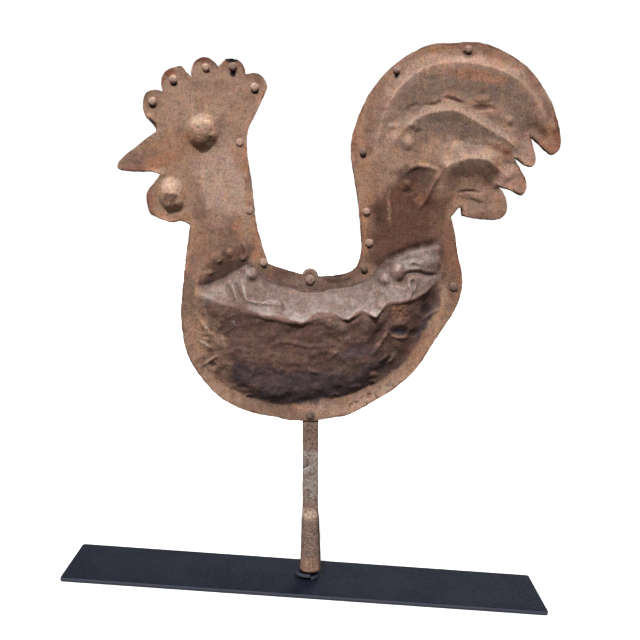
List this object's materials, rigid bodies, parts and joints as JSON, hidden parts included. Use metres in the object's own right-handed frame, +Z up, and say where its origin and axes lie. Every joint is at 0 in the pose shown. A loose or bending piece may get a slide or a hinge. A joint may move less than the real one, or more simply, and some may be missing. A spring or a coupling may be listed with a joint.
{
  "type": "weather vane",
  "caption": "Rooster weather vane of two hammered sheet-iron halves riveted round a flat strap, its tapered socket turning on the pin of a flat steel display base.",
  "frame": {"origin": "centre of the base plate's underside, on the floor, on the vane's upright axis of rotation", "axes": "+Z up along the pivot pin, +X towards the rooster's tail, -X towards its head, -Y towards the side with the rivet heads"},
  "size_m": [0.508, 0.1016, 0.581],
  "materials": {
    "black_paint": "satin blue-black paint on steel, lightly scuffed",
    "bare_steel": "dull bright steel",
    "socket_iron": "forged iron, speckled brown rust, oranger at the mouth",
    "strap_iron": "flat iron bar, brown rust above and whitish mottling below",
    "rusted_sheet": "hammered sheet iron, old tan, brown and purple-brown rust patina, matt to low sheen",
    "rivet_iron": "hammered iron rivet heads, tan rust"
  },
  "bodies": {
    "stand": {"base_plate": "black_paint", "pivot_pin": "bare_steel", "weld_bead": "black_paint", "split_ring": "black_paint"},
    "vane": {"stem_socket": "socket_iron", "stem_strap": "strap_iron", "front_sheet": "rusted_sheet", "rear_sheet": "rusted_sheet", "comb_rivet_1": "rivet_iron", "comb_rivet_2": "rivet_iron", "comb_rivet_3": "rivet_iron", "comb_rivet_4": "rivet_iron", "comb_rivet_5": "rivet_iron", "neck_rivet_upper": "rivet_iron", "neck_rivet_lower": "rivet_iron", "back_corner_rivet": "rivet_iron", "strap_rivet_top": "rivet_iron", "strap_rivet_bottom": "rivet_iron", "tail_rivet_1": "rivet_iron", "tail_rivet_2": "rivet_iron", "tail_rivet_3": "rivet_iron", "tail_rivet_4": "rivet_iron", "tail_rim_rivet_1": "rivet_iron", "tail_rim_rivet_2": "rivet_iron", "rear_edge_rivet": "rivet_iron"}
  },
  "joints": [
    {"name": "vane_spin", "type": "hinge", "parent": "stand", "child": "vane", "pos_m": [0, 0, 0.064], "axis": [0, 0, 1], "continuous": true}
  ]
}
